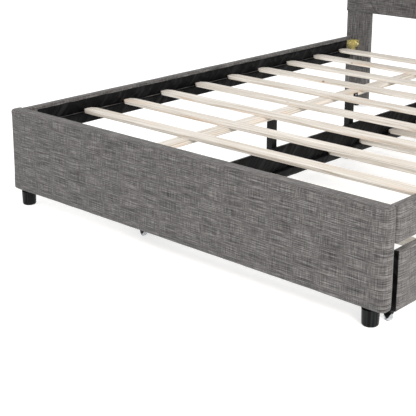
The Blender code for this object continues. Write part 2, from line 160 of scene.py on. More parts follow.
def node(tree, kind, inputs=(), stops=(), **settings):
    """Adds a node with its settings and colour stops, and sets or links its inputs.

    The inputs come in order, or by name or number.  A node given as an input stands for its
    first output, and a colour gets full opacity.
    """
    made = tree.nodes.new(kind)
    for name, value in settings.items():
        setattr(made, name, value)
    if stops:
        elements = made.color_ramp.elements
        while len(elements) < len(stops):
            elements.new(0.5)
        for element, (position, colour) in zip(elements, stops):
            element.position = position
            element.color = (*colour, 1.0)
    for key, value in inputs.items() if isinstance(inputs, dict) else enumerate(inputs):
        if isinstance(value, bpy.types.Node):
            value = value.outputs[0]
        if isinstance(value, bpy.types.NodeSocket):
            tree.links.new(value, made.inputs[key])
        elif made.inputs[key].type == "RGBA":
            made.inputs[key].default_value = (*value, 1.0)
        else:
            made.inputs[key].default_value = value
    return made


def finish(name):
    """Turns a function that gives a shader's inputs into one that gives the material.

    The material is made once; what the function is called with completes its name.
    """
    def wrap(shader_inputs):
        @wraps(shader_inputs)
        def material(*given):
            full_name = name.format(*given).lower()
            made = bpy.data.materials.get(full_name)
            if made is None:
                made = bpy.data.materials.new(full_name)
                made.use_nodes = True
                tree = made.node_tree
                tree.nodes.clear()
                shader = node(tree, "ShaderNodeBsdfPrincipled", shader_inputs(tree, *given))
                node(tree, "ShaderNodeOutputMaterial", {"Surface": shader})
            return made
        return material
    return wrap


def stretched_noise(tree, vector, cell, shift, detail=2.0, roughness=0.5):
    """Noise whose features have the size given by cell, in metres along each axis."""
    placed = node(tree, "ShaderNodeMapping",
                  {"Vector": vector, "Location": shift, "Scale": [1.0 / c for c in cell]})
    return node(tree, GRAIN, {"Vector": placed, "Scale": 1.0, "Detail": detail,
                              "Roughness": roughness})


@finish("linen_slub_woven")
def woven_linen(tree):
    """Slub linen, plain weave, piece-dyed grey.

    Thick places in the yarns show as pale and dark dashes in both directions; the surface is
    matt with a faint fuzz.  The weave's pitch is about twice the real 1.2 mm so that it shows.
    """
    add = partial(node, tree)
    cloth = bpy.context.scene.bed_cloth
    uv = add("ShaderNodeUVMap", uv_map="cloth")
    long, wide = cloth.slub_long, cloth.slub_wide
    total = stretched_noise(tree, uv, (long, wide, 1.0), (3.1, 7.7, 0.0), 2.0, 0.55)
    warp = stretched_noise(tree, uv, (wide, long * 0.45, 1.0), (9.2, 1.4, 0.0), 2.0, 0.55)
    hair = stretched_noise(tree, uv, (long * 0.3, wide * 0.5, 1.0), (1.5, 4.2, 0.0), 1.0)
    cloud = stretched_noise(tree, uv, (0.30, 0.03, 1.0), (5.5, 2.5, 0.0), 2.0)
    for part, weight in ((warp, 0.58), (hair, 0.46), (cloud, 0.08)):
        total = add(MATHS, (part, weight, total), operation="MULTIPLY_ADD")
    tone = add(MATHS, (total, 0.575), operation="SUBTRACT")
    yarns = add(RAMP, (tone,),
                stops=((0.25, cloth.dark), (0.50, cloth.middle), (0.75, cloth.light)))
    # painted shade: the yarns' colour is darkened towards near black in the sewn seams' grooves,
    # where sew() marks the cover
    crease = add("ShaderNodeAttribute", attribute_name="crease").outputs["Fac"]
    shade = add(MATHS, (crease, 0.62), operation="MULTIPLY")
    seam_shaded_yarns = add(MIX, {0: shade, 6: yarns, 7: [c * 0.12 for c in cloth.dark]},
                  data_type="RGBA")
    waves = []
    for axis in add(AXES, (uv,)).outputs[:2]:
        turns = add(MATHS, (axis, 2 * math.pi / cloth.weave), operation="MULTIPLY")
        waves.append(add(MATHS, (turns,), operation="SINE"))
    weave = add(MATHS, waves, operation="MULTIPLY")
    height = add(MATHS, (weave, 0.35, total), operation="MULTIPLY_ADD")
    relief = add(BUMP, {"Height": height, "Distance": 0.9 * MM, "Strength": 0.8})
    return {"Base Color": seam_shaded_yarns.outputs[2], "Normal": relief, "Roughness": 0.92,
            "Specular IOR Level": 0.25, "Sheen Weight": 0.12, "Sheen Roughness": 0.5}


@finish("polypropylene_spunbond_lining")
def spunbond_lining(tree):
    """Black spunbond polypropylene, pulled over the board and stapled.

    Nearly black and slightly waxy, with an embossed grid of dots and soft creases; soft slanting
    streaks are painted paler, a painted sheen that stands for light caught on its folds.
    """
    add = partial(node, tree)
    place = add("ShaderNodeTexCoord").outputs["Object"]
    cloud = stretched_noise(tree, place, (0.09, 0.09, 0.05), (2.0, 5.0, 1.0), 3.0)
    dark = bpy.context.scene.bed_cloth.lining
    base = add(RAMP, (cloud,), stops=((0.3, [c * 0.8 for c in dark]),
                                      (0.7, [c * 1.4 for c in dark])))
    slanted = add("ShaderNodeMapping", {"Vector": place, "Rotation": (0.5, 0.4, 1.0)})
    bent = stretched_noise(tree, slanted, (0.016, 0.15, 0.15), (0.0, 1.0, 4.0), 2.0, 0.4)
    # painted sheen: paler slanting streaks mixed into the colour stand for light caught on the
    # folds
    pale = add(RANGE, {"Value": bent, "From Min": 0.48, "From Max": 0.78, "To Max": 0.045})
    base_with_painted_sheen = add(MIX, {0: pale, 6: base, 7: linear("#a9abb0")}, data_type="RGBA")
    dots = add("ShaderNodeTexVoronoi", {"Vector": place, "Scale": 1.0 / (3.0 * MM)},
               feature="F1")
    height = add(MATHS, (bent, 6.0, dots.outputs["Distance"]), operation="MULTIPLY_ADD")
    relief = add(BUMP, {"Height": height, "Distance": 0.5 * MM, "Strength": 0.8})
    return {"Base Color": base_with_painted_sheen.outputs[2], "Normal": relief, "Roughness": 0.45,
            "Specular IOR Level": 0.1}


@finish("pine_planed_{}")
def planed_pine(tree, grain):
    """Planed white pine, unfinished, with its grain along X or Y.

    Cream with thin darker growth lines, a few resin-pink patches and small knots; satin.
    """
    add = partial(node, tree)
    timber = bpy.context.scene.bed_timber
    place = add("ShaderNodeTexCoord").outputs["Object"]
    turn = 0.0 if grain == "X" else math.pi / 2
    place = add("ShaderNodeMapping", {"Vector": place, "Rotation": (0.0, 0.0, -turn)})
    drift = stretched_noise(tree, place, (0.55, 0.035, 0.035), (4.0, 0.5, 2.0), 1.0)
    axes = add(AXES, (place,)).outputs
    # growth lines about 5 mm apart, bent by the drift of the trunk
    across = add(MATHS, (axes[2], 0.6, axes[1]), operation="MULTIPLY_ADD")
    across = add(MATHS, (drift, 0.030, across), operation="MULTIPLY_ADD")
    turns = add(MATHS, (across, 2 * math.pi / (5.0 * MM)), operation="MULTIPLY")
    rings = add(MATHS, (turns,), operation="SINE")
    rings = add(MATHS, (rings, 0.5, 0.5), operation="MULTIPLY_ADD")
    rings = add(MATHS, (rings, 2.0), operation="POWER")
    fibre = stretched_noise(tree, place, (0.10, 1.2 * MM, 1.2 * MM), (1.0, 3.0, 0.2), 3.0, 0.6)
    patch = stretched_noise(tree, place, (0.28, 0.05, 0.05), (8.0, 1.3, 6.0), 2.0)
    wide = stretched_noise(tree, place, (0.35, 0.012, 0.012), (2.2, 6.1, 3.0), 2.0)
    streak = stretched_noise(tree, place, (0.14, 3.0 * MM, 3.0 * MM), (6.0, 2.2, 1.0), 2.0)
    tone = add(MATHS, (rings, 0.22), operation="MULTIPLY")
    for part, weight in ((wide, 0.7), (fibre, 0.35)):
        tone = add(MATHS, (part, weight, tone), operation="MULTIPLY_ADD")
    base = add(RAMP, (tone,), stops=((0.38, timber.pale), (0.85, timber.late)))
    blush = add(RANGE, {"Value": patch, "From Min": 0.60, "From Max": 0.74, "To Max": 0.5})
    dark_grain = add(RANGE, {"Value": streak, "From Min": 0.52, "From Max": 0.72,
                             "To Max": 0.5})
    cells = add("ShaderNodeMapping",
                {"Vector": place, "Scale": (1 / 0.13, 1 / 0.07, 1 / 0.07)})
    knots = add("ShaderNodeTexVoronoi", {"Vector": cells, "Scale": 1.0}, feature="F1").outputs
    chosen = add("ShaderNodeSeparateColor", (knots["Color"],))
    few = add(MATHS, (chosen, 0.72), operation="GREATER_THAN")
    close = add(RANGE, {"Value": knots["Distance"], "From Min": 0.035, "From Max": 0.075,
                        "To Min": 0.85, "To Max": 0.0})
    knotted = add(MATHS, (few, close), operation="MULTIPLY")
    for share, colour in ((blush, timber.blush), (dark_grain, [c * 0.7 for c in timber.late]),
                          (knotted, timber.knot)):
        base = add(MIX, {0: share, 6: base, 7: colour}, data_type="RGBA").outputs[2]
    relief = add(BUMP, {"Height": fibre, "Distance": 0.25 * MM, "Strength": 0.5})
    return {"Base Color": base, "Normal": relief, "Roughness": 0.62,
            "Specular IOR Level": 0.35}


def speckled(tree, colour, grit, depth, roughness, metallic=0.0, spread=1.25, specular=0.5):
    """A moulded, coated or drawn surface: one colour, a fine grit in bump and roughness."""
    add = partial(node, tree)
    place = add("ShaderNodeTexCoord").outputs["Object"]
    grain = add(GRAIN, {"Vector": place, "Scale": 1.0 / grit, "Detail": 3.0})
    cloud = add(GRAIN, {"Vector": place, "Scale": 1.0 / 0.03, "Detail": 2.0})
    tint = add(RAMP, (cloud,), stops=((0.35, [c / spread for c in colour]),
                                      (0.65, [min(1.0, c * spread) for c in colour])))
    rough = add(RANGE, {"Value": cloud, "To Min": roughness * 0.8, "To Max": roughness * 1.2})
    relief = add(BUMP, {"Height": grain, "Distance": depth, "Strength": 0.6})
    return {"Base Color": tint, "Roughness": rough, "Normal": relief, "Metallic": metallic,
            "Specular IOR Level": specular}


@finish("polypropylene_moulded_black")
def moulded_plastic(tree):
    """Black polypropylene, injection moulded with a fine spark texture: soft broad highlights."""
    return speckled(tree, bpy.context.scene.bed_fitting.plastic, 0.8 * MM, 0.02 * MM, 0.22,
                    specular=0.22)


@finish("polypropylene_moulded_streaked")
def drawn_foot(tree):
    """Black polypropylene foot: thin paler upright streaks painted into its colour are painted
    highlights, with matching bumps and roughness.
    """
    add = partial(node, tree)
    black = bpy.context.scene.bed_fitting.plastic
    place = add("ShaderNodeTexCoord").outputs["Object"]
    streak = stretched_noise(tree, place, (6.0 * MM, 6.0 * MM, 0.25), (3.0, 1.0, 0.0), 2.0, 0.6)
    # painted highlights: the paler streaks in the colour stand for the upright highlights of a
    # glossy foot
    return {"Base Color": add(RAMP, (streak,), stops=((0.42, [c * 0.5 for c in black]),
                                                      (0.62, [c * 4.5 for c in black]))),
            "Normal": add(BUMP, {"Height": streak, "Distance": 0.15 * MM, "Strength": 0.6}),
            "Roughness": add(RANGE, {"Value": streak, "To Min": 0.2, "To Max": 0.4}),
            "Specular IOR Level": 0.12}


@finish("steel_powder_coated_black")
def powder_coat(tree):
    """Steel tube, powder coated satin black: slight orange peel, duller than the plastic."""
    return speckled(tree, bpy.context.scene.bed_fitting.coat, 1.5 * MM, 0.08 * MM, 0.42,
                    specular=0.25)


@finish("steel_zinc_plated_bright")
def bright_steel(tree):
    """Zinc-plated steel pins, staples and screws: cool, bright and slightly brushed."""
    return speckled(tree, linear("#c3c5c7"), 0.4 * MM, 0.02 * MM, 0.28, metallic=1.0)


@finish("polyester_thread_twisted")
def sewing_thread(tree):
    """Bonded polyester thread, dyed to match the linen: slightly smoother and darker."""
    return speckled(tree, linear("#6a6764"), 0.5 * MM, 0.1 * MM, 0.6)


@finish("paper_matt_white")
def studio_paper(tree):
    """Matt paper of the studio floor, lit a little from within so that it stays white."""
    floor = speckled(tree, bpy.context.scene.bed_stage.floor, 4 * MM, 0.1 * MM, 0.85,
                     spread=1.01)
    return {**floor, "Emission Color": WHITE, "Emission Strength": 0.62}


@finish("polycarbonate_moulded_clear")
def clear_wheel(tree):
    """Clear moulded polycarbonate: glassy with a faint blue-grey body."""
    place = node(tree, "ShaderNodeTexCoord").outputs["Object"]
    scuff = node(tree, GRAIN, {"Vector": place, "Scale": 1.0 / (2 * MM), "Detail": 3.0})
    rough = node(tree, RANGE, {"Value": scuff, "To Min": 0.05, "To Max": 0.35})
    return {"Base Color": linear("#e6eaee"), "Roughness": rough, "Transmission Weight": 0.8,
            "IOR": 1.58}


@finish("steel_yellow_chromate")
def chromate_zinc(tree):
    """Pressed steel, yellow chromate over zinc: brassy with faint green and rose bands."""
    add = partial(node, tree)
    base = bpy.context.scene.bed_fitting.zinc
    place = add("ShaderNodeTexCoord").outputs["Object"]
    band = add(GRAIN, {"Vector": place, "Scale": 1.0 / 0.012, "Detail": 2.0,
                       "Distortion": 0.8})
    brush = stretched_noise(tree, place, (1.0 * MM, 12.0 * MM, 0.5 * MM), (0.0, 0.0, 0.0), 2.0)
    return {"Base Color": add(RAMP, (band,), stops=((0.30, linear("#a9a673")), (0.45, base),
                                                    (0.58, base), (0.74, linear("#dcb98c")))),
            "Normal": add(BUMP, {"Height": brush, "Distance": 0.04 * MM, "Strength": 0.5}),
            "Roughness": add(RANGE, {"Value": band, "To Min": 0.2, "To Max": 0.42}),
            "Metallic": 1.0}


# Meshes


def new_piece(name, points, faces, materials, face_materials=None):
    """A piece from points and faces, at the origin and smooth-shaded."""
    mesh = bpy.data.meshes.new(name)
    mesh.from_pydata([tuple(map(float, p)) for p in points], [], faces)
    if face_materials is not None:
        mesh.polygons.foreach_set("material_index", face_materials)
    mesh.shade_smooth()
    made = bpy.data.objects.new(name, mesh)
    for material in materials:
        mesh.materials.append(material)
    bpy.context.scene.collection.objects.link(made)
    return made


def settled(piece):
    """Makes a piece's modifiers part of its mesh, and removes them."""
    graph = bpy.context.evaluated_depsgraph_get()
    mesh = bpy.data.meshes.new_from_object(piece.evaluated_get(graph), depsgraph=graph)
    mesh.name = piece.name
    piece.modifiers.clear()
    piece.data = mesh


def points_of(mesh, kind="vertices", field="co"):
    """The vectors of a mesh's vertices, or of another of its blocks, as an array."""
    block = getattr(mesh, kind)
    values = np.zeros(len(block) * 3, np.float32)
    block.foreach_get(field, values)
    return values.reshape(-1, 3).astype(float)


def normals_of(mesh):
    return points_of(mesh, "vertex_normals", "vector")


def set_points(mesh, points):
    mesh.vertices.foreach_set("co", points.astype(np.float32).ravel())
    mesh.update()


def subdivided(piece):
    """Smooths a piece with one subdivision."""
    smooth = piece.modifiers.new("Smooth", "SUBSURF")
    smooth.levels = smooth.render_levels = 1
    settled(piece)


# Covers: rounded boards with cloth wrapped round them

EDGE_LINES = 4      # grid lines across a rounded edge
GRID_STEP = 0.010   # grid spacing elsewhere, halved by one subdivision
CLOTH_FRAMES = 20   # frames that a cover's simulation runs for
FOAM_PRESSURE = 4.0

FRONT, BACK, RIGHT, LEFT, TOP, BOTTOM = range(6)
# how a board drawn with its face to -Y is turned about Z, as rows for its X and Y
TURNS = {"-Y": ((1, 0), (0, 1)), "+Y": ((-1, 0), (0, -1)),
         "+X": ((0, -1), (1, 0)), "-X": ((0, 1), (-1, 0))}


def grid_lines(half, edge, step=GRID_STEP):
    """Places along one side of a board, closer together where its edge is rounded."""
    near = np.linspace(0.0, edge, EDGE_LINES + 1)[:-1]
    count = max(1, round(2 * (half - edge) / step))
    middle = np.linspace(edge - half, half - edge, count + 1)
    return np.concatenate([near - half, middle, half - near[::-1]])


def grid_box(xs, ys, zs):
    """Points, faces and the side of each face of a closed box of grid squares."""
    index = {}
    points = []

    def at(i, j, k):
        key = (i, j, k)
        if key not in index:
            index[key] = len(points)
            points.append((xs[i], ys[j], zs[k]))
        return index[key]

    nx, ny, nz = len(xs) - 1, len(ys) - 1, len(zs) - 1
    faces = []
    sides = []

    def square(side, *corners):
        faces.append([at(*c) for c in corners])
        sides.append(side)

    for i in range(nx):
        for k in range(nz):
            square(FRONT, (i, 0, k), (i + 1, 0, k), (i + 1, 0, k + 1), (i, 0, k + 1))
            square(BACK, (i, ny, k), (i, ny, k + 1), (i + 1, ny, k + 1), (i + 1, ny, k))
    for j in range(ny):
        for k in range(nz):
            square(RIGHT, (nx, j, k), (nx, j + 1, k), (nx, j + 1, k + 1), (nx, j, k + 1))
            square(LEFT, (0, j, k), (0, j, k + 1), (0, j + 1, k + 1), (0, j + 1, k))
    for i in range(nx):
        for j in range(ny):
            square(TOP, (i, j, nz), (i + 1, j, nz), (i + 1, j + 1, nz), (i, j + 1, nz))
            square(BOTTOM, (i, j, 0), (i, j + 1, 0), (i + 1, j + 1, 0), (i + 1, j, 0))
    return np.array(points), faces, sides


def rounded(points, half, plan, edge):
    """Rounds a box's upright edges to radius plan, and its top and bottom edges to edge."""
    out = points.copy()
    # upright edges first: each square ring round the core becomes a round one
    core = np.array([half[0] - plan, half[1] - plan])
    base = np.clip(out[:, :2], -core, core)
    offset = out[:, :2] - base
    size = np.linalg.norm(offset, axis=1)
    scale = np.divide(np.abs(offset).max(axis=1), size, out=np.ones_like(size),
                      where=size > TINY)
    out[:, :2] = base + offset * scale[:, None]
    offset = out[:, :2] - np.clip(out[:, :2], -core, core)
    size = np.linalg.norm(offset, axis=1)
    spare = np.abs(out[:, :2]) - core
    inset = plan - size - np.minimum(spare.max(axis=1), 0.0)
    outward = np.zeros_like(offset)
    flat = size <= TINY
    nearest = spare.argmax(axis=1)
    rows = np.arange(len(out))
    outward[rows, nearest] = np.sign(out[rows, nearest])
    outward[~flat] = offset[~flat] / size[~flat, None]
    # then the top and bottom edges, drawn in along the side's own outward direction
    side = edge - inset
    rise = np.abs(out[:, 2]) - (half[2] - edge)
    turning = (side > 0) & (rise > 0)
    length = np.hypot(side, rise)
    ratio = np.ones_like(length)
    ratio[turning] = np.maximum(side, rise)[turning] / length[turning]
    out[turning, :2] += (outward * (side * (ratio - 1))[:, None])[turning]
    out[turning, 2] = (np.sign(out[:, 2]) * (half[2] - edge + rise * ratio))[turning]
    return out


def wrap_uv(corner, side, half):
    """Where a point of the board lies on the cloth that wraps it, in metres."""
    x, y, z = corner
    hx, hy, hz = half
    round_end = y + hy
    return {FRONT: (x, z), RIGHT: (hx + round_end, z), LEFT: (-hx - round_end, z),
            BACK: (2 * hx + 2 * hy - x, z), TOP: (x, hz + round_end),
            BOTTOM: (x, -hz - round_end)}[side]


def wrapped_board(name, low, high, facing, plan, edge, materials=None, sides_lined=(),
                  upright_cloth=False, shift=(0.0, 0.0), step=GRID_STEP):
    """A cloth-wrapped board between two corners, in linen where no material is given.

    facing is the direction of its outer face; its upright edges have radius plan, and its
    top and bottom edges radius edge.  The sides named in sides_lined take the second
    material.  The cloth's own UV map is in metres, and shift moves the cloth on the board.
    """
    low, high = Vector(low), Vector(high)
    size, middle = high - low, (low + high) / 2
    along = facing[1] == "X"
    half = (size.y / 2, size.x / 2, size.z / 2) if along else tuple(size / 2)
    edges = max(plan, edge)
    flat, faces, sides = grid_box(grid_lines(half[0], edges, step),
                                  grid_lines(half[1], min(edges, half[1] * 0.8), step),
                                  grid_lines(half[2], edge, step))
    shaped = rounded(flat, half, plan, edge)
    shaped[:, :2] = shaped[:, :2] @ np.array(TURNS[facing], float).T
    shaped = shaped + np.array(middle)
    lined = [1 if side in sides_lined else 0 for side in sides]
    made = new_piece(name, shaped, faces, materials or [woven_linen()], lined)
    layer = made.data.uv_layers.new(name="cloth")
    places = []
    for face, side in zip(faces, sides):
        for corner in face:
            u, v = wrap_uv(flat[corner], side, half)
            places.extend((v + shift[0], u + shift[1]) if upright_cloth
                          else (u + shift[0], v + shift[1]))
    layer.data.foreach_set("uv", places)
    return made


def swell(piece, outward, distance):
    """Lifts a cover off its board where foam lies under it, with a cloth simulation.

    Points whose normals turn away from the outward direction are stapled down. No point
    moves further than the distance.
    """
    start = points_of(piece.data)
    facing = normals_of(piece.data) @ np.array(outward, float)
    held = piece.vertex_groups.new(name="stapled")
    held.add([int(i) for i in np.flatnonzero(facing < -0.2)], 1.0, "REPLACE")
    cloth = piece.modifiers.new("Cover", "CLOTH")
    for name, value in (("quality", 4), ("use_pressure", True),
                        ("uniform_pressure_force", FOAM_PRESSURE),
                        ("tension_stiffness", 25.0), ("compression_stiffness", 25.0),
                        ("vertex_group_mass", "stapled")):
        setattr(cloth.settings, name, value)
    cloth.settings.effector_weights.gravity = 0.0
    cloth.collision_settings.use_collision = False
    scene = bpy.context.scene
    for number in range(1, CLOTH_FRAMES + 1):
        scene.frame_set(number)
    graph = bpy.context.evaluated_depsgraph_get()
    shape = piece.evaluated_get(graph).to_mesh()
    moved = points_of(shape) - start
    piece.evaluated_get(graph).to_mesh_clear()
    piece.modifiers.clear()
    piece.vertex_groups.clear()
    scene.frame_set(1)
    length = np.linalg.norm(moved, axis=1)
    limited = np.divide(distance * np.tanh(length / distance), length,
                        out=np.zeros_like(length), where=length > TINY)
    set_points(piece.data, start + moved * limited[:, None])


def uneven(piece, size, depth, seed):
    """Small unevenness of a hand-pulled cover along its normals, with bumps of this size."""
    points = points_of(piece.data)
    offset = Vector((seed * 3.7, seed * 1.3, seed * 2.1))
    heights = np.array([noise.noise(Vector(p) / size + offset) for p in points])
    set_points(piece.data, points + normals_of(piece.data) * (heights * depth)[:, None])


def fixed(piece, body, stands_for=None):
    """Rides a piece on a body, and hides the CAD piece it stands for."""
    if stands_for:
        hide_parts(stands_for)
    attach(piece, body)


def padded_cover(cover, stands_for, bumps, depth, seed, outward=None, lift=0.0,
                 body="bed_frame"):
    """Makes a wrapped board a padded cover: swollen outward, smoothed and a little uneven."""
    if outward:
        swell(cover, outward, lift)
    subdivided(cover)
    uneven(cover, bumps, depth, seed)
    fixed(cover, body, stands_for)


def lined_board(name, low, high, facing, bumps, depth, seed, stands_for, body):
    """A board or ledge wrapped in lining, with softly rounded edges."""
    board = wrapped_board(name, low, high, facing, 2.5 * MM, 2.5 * MM, [spunbond_lining()])
    uneven(board, bumps, depth, seed)
    fixed(board, body, stands_for)


def kept_off(low, high, amount, axes):
    """Draws a box in by an amount on the given axes only."""
    shrink = Vector([amount if axis in axes else 0.0 for axis in "XYZ"])
    return low + shrink, high - shrink


HELD_BORDER = 12 * MM       # staples hold a lining flat this far in from its border
SLAT_END_ROOM = 20 * MM     # slat ends come this high beside a rail's lining


def lining_sheet(name, corner, across, up, width, height, seed, lift=2.0 * MM,
                 near=0.7 * MM, low_limit=None):
    """A stapled sheet of lining on a flat face, creased between its staples.

    It starts at a corner and runs along two unit directions; creases stand up to lift off
    the face, and only up to low_limit at its foot, where slat ends come close.
    """
    across, up = Vector(across), Vector(up)
    out = across.cross(up)
    columns, rows = max(8, round(width / 0.007)), max(5, round(height / 0.006))
    points = []
    for row in range(rows + 1):
        for column in range(columns + 1):
            u, v = column / columns, row / rows
            a, b = u * width, v * height
            # slanting creases 55 mm apart, over wider soft waves
            slant = Vector(((a + 0.8 * b) / 0.055 + seed, (b - 0.25 * a) / 0.16, seed * 0.7))
            fold = max(0.0, 1.0 - 3.2 * abs(noise.noise(slant)))
            soft = noise.noise(Vector((a / 0.12, b / 0.05, seed + 4.0))) * 0.5 + 0.5
            held = min(1.0, min(a, width - a, b, height - b) / HELD_BORDER)
            rise = (fold * 0.6 + soft * 0.4) * lift * held
            if low_limit is not None and b < SLAT_END_ROOM:
                rise = min(rise, low_limit)
            wander = noise.noise(Vector((a / 0.04, seed, v * 3.0))) * 1.2 * MM
            b += wander if row in (0, rows) else 0.0
            points.append(Vector(corner) + across * a + up * b + out * (near + rise))
    faces = []
    for row in range(rows):
        for column in range(columns):
            first = row * (columns + 1) + column
            faces.append((first, first + 1, first + columns + 2, first + columns + 1))
    made = new_piece(name, points, faces, [spunbond_lining()])
    thick = made.modifiers.new("Thickness", "SOLIDIFY")
    thick.thickness = 0.4 * MM
    thick.offset = -1.0
    settled(made)
    made["lining_border"] = [*corner, *across, *up, width, height, near]
    fixed(made, "bed_frame")
    return made


# Repeated fastenings, made with Geometry Nodes


def tool(name, **sizes):
    """Turns a function that lays instances in a tree into one that gives the whole tool.

    The tool is made once, and has a named input for each size and for its material.
    """
    def wrap(instances):
        @wraps(instances)
        def made():
            tree = bpy.data.node_groups.get(name)
            if tree is None:
                tree = bpy.data.node_groups.new(name, "GeometryNodeTree")
                add = partial(node, tree)
                socket = tree.interface.new_socket
                for in_out in ("OUTPUT", "INPUT"):
                    socket("Geometry", in_out=in_out, socket_type="NodeSocketGeometry")
                for size, kind in (*sizes.items(), ("Material", "Material")):
                    socket(size, in_out="INPUT", socket_type="NodeSocket" + kind)
                given = add("NodeGroupInput").outputs
                real = add("GeometryNodeRealizeInstances", (instances(tree, given),))
                dressed = add("GeometryNodeSetMaterial",
                              {"Geometry": real, "Material": given["Material"]})
                add("NodeGroupOutput", (dressed,))
            return tree
        return made
    return wrap


def laid(tree, given, points, shape, along, about, least):
    """Instances of a shape on points, with +Z along a direction and a random turn about one."""
    add = partial(node, tree)
    upright = add("FunctionNodeAlignRotationToVector", {"Vector": along}, axis="Z")
    chance = add("FunctionNodeRandomValue",
                 {2: least, 3: given["Turn"], "Seed": given["Seed"]}, data_type="FLOAT")
    swing = add("FunctionNodeAxisAngleToRotation",
                {"Axis": about, "Angle": chance.outputs[1]})
    turned = add("FunctionNodeRotateRotation", {"Rotation": upright, "Rotate By": swing},
                 rotation_space="GLOBAL")
    return add("GeometryNodeInstanceOnPoints",
               {"Points": points, "Instance": shape, "Rotation": turned})


@tool("Rods along a path", Pitch="Float", Length="Float", Thickness="Float", Turn="Float",
      Facing="Vector", Seed="Int")
def rods_on_path(tree, given):
    """Short rods spaced along a path: stitches of thread, or the crowns of staples."""
    add = partial(node, tree)
    path = add("GeometryNodeMeshToCurve", {"Mesh": given["Geometry"]})
    spaced = add("GeometryNodeResampleCurve", {"Curve": path, "Length": given["Pitch"]},
                 mode="LENGTH")
    radius = add(MATHS, (given["Thickness"], 0.5), operation="MULTIPLY")
    rod = add("GeometryNodeMeshCylinder",
              {"Vertices": 8, "Side Segments": 2, "Fill Segments": 1, "Radius": radius,
               "Depth": given["Length"]})
    # the rod narrows towards both ends
    reach = add(MATHS, (given["Length"], 0.5), operation="MULTIPLY")
    place = add("GeometryNodeInputPosition")
    share = add(MATHS, (add(AXES, (place,)).outputs[2], reach), operation="DIVIDE")
    square = add(MATHS, (share, share), operation="MULTIPLY")
    narrow = add(MATHS, (square, -0.45, 1.0), operation="MULTIPLY_ADD")
    drawn = add("ShaderNodeVectorMath", (place, add(THREE, (narrow, narrow, 1.0))),
                operation="MULTIPLY")
    shaped = add("GeometryNodeSetPosition", {"Geometry": rod, "Position": drawn})
    least = add(MATHS, (given["Turn"], -1.0), operation="MULTIPLY")
    return laid(tree, given, spaced, shaped, add("GeometryNodeInputTangent"),
                given["Facing"], least)


@tool("Pan head screws", Radius="Float", Height="Float", Turn="Float", Seed="Int")
def screws_on_points(tree, given):
    """Pan-head screws with a cross recess, one on each point, along its facing attribute."""
    add = partial(node, tree)
    radius, height = given["Radius"], given["Height"]
    ball = add("GeometryNodeMeshUVSphere", {"Segments": 20, "Rings": 10, "Radius": radius})
    flatness = add(MATHS, (height, radius), operation="DIVIDE")
    head = add("GeometryNodeTransform",
               {"Geometry": ball, "Scale": add(THREE, (1.0, 1.0, flatness))})
    recess = add("GeometryNodeMeshBoolean", operation="UNION", solver="EXACT")
    for shares in ((1.1, 0.26), (0.26, 1.1)):
        sides = [add(MATHS, (radius, share), operation="MULTIPLY") for share in shares]
        cube = add("GeometryNodeMeshCube", {"Size": add(THREE, (*sides, height))})
        bar = add("GeometryNodeTransform",
                  {"Geometry": cube, "Translation": add(THREE, {2: height})})
        tree.links.new(bar.outputs[0], recess.inputs["Mesh 2"])
    cut = add("GeometryNodeMeshBoolean", {"Mesh 1": head, "Mesh 2": recess},
              operation="DIFFERENCE", solver="EXACT")
    facing = add("GeometryNodeInputNamedAttribute", {"Name": "facing"},
                 data_type="FLOAT_VECTOR")
    return laid(tree, given, given["Geometry"], cut, facing, facing, 0.0)


def grown(name, mesh, tree, values):
    """Runs a node tool on a mesh and keeps the result as a plain piece on the bed frame."""
    values["Seed"] = bpy.context.scene.bed_fitting.seed
    made = bpy.data.objects.new(name, mesh)
    bpy.context.scene.collection.objects.link(made)
    modifier = made.modifiers.new("Grow", "NODES")
    modifier.node_group = tree
    for item in tree.interface.items_tree:
        if item.item_type == "SOCKET" and item.in_out == "INPUT" and item.name in values:
            modifier[item.identifier] = values[item.name]
    settled(made)
    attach(made, "bed_frame")


def path_mesh(name, paths):
    """A mesh of open polylines."""
    mesh = bpy.data.meshes.new(name)
    points, edges = [], []
    for path in paths:
        first = len(points)
        points.extend(tuple(p) for p in path)
        edges.extend((i, i + 1) for i in range(first, len(points) - 1))
    mesh.from_pydata(points, edges, [])
    return mesh


def screws(name, places, radius, height, material):
    """Screw heads at (point, facing) places."""
    mesh = bpy.data.meshes.new(name)
    mesh.from_pydata([tuple(p) for p, _ in places], [], [])
    facing = mesh.attributes.new("facing", "FLOAT_VECTOR", "POINT")
    facing.data.foreach_set("vector", [c for _, f in places for c in f])
    grown(name, mesh, screws_on_points(),
          {"Radius": radius, "Height": height, "Turn": math.pi / 2, "Material": material})


def staples(name, lining):
    """Staples along the top and bottom borders of a lining sheet."""
    values = list(lining["lining_border"])
    corner, across, up = (Vector(values[i:i + 3]) for i in (0, 3, 6))
    width, height, near = values[9:12]
    out = across.cross(up)
    base = corner + out * (near + 0.5 * MM)
    inset = 7 * MM
    paths = [[base + across * inset + up * level, base + across * (width - inset) + up * level]
             for level in (inset, height - inset)]
    grown(name, path_mesh(name, paths), rods_on_path(),
          {"Pitch": bpy.context.scene.bed_fitting.staple_pitch, "Length": 9 * MM,
           "Thickness": 1.0 * MM, "Turn": math.radians(24), "Facing": tuple(out),
           "Material": bright_steel()})


# Timber and fittings that keep their CAD shape

MERGE = 1e-5                        # a CAD mesh's loose corners lie closer than this
FLAT_ANGLE = math.radians(0.5)      # faces closer to level than this are one face
SHARP_ANGLE = math.radians(40)      # an edge sharper than this is rounded over
RING_SHARP_ANGLE = math.radians(35)


def body_of(node_name):
    return frame["nodes"][node_name]["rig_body"]


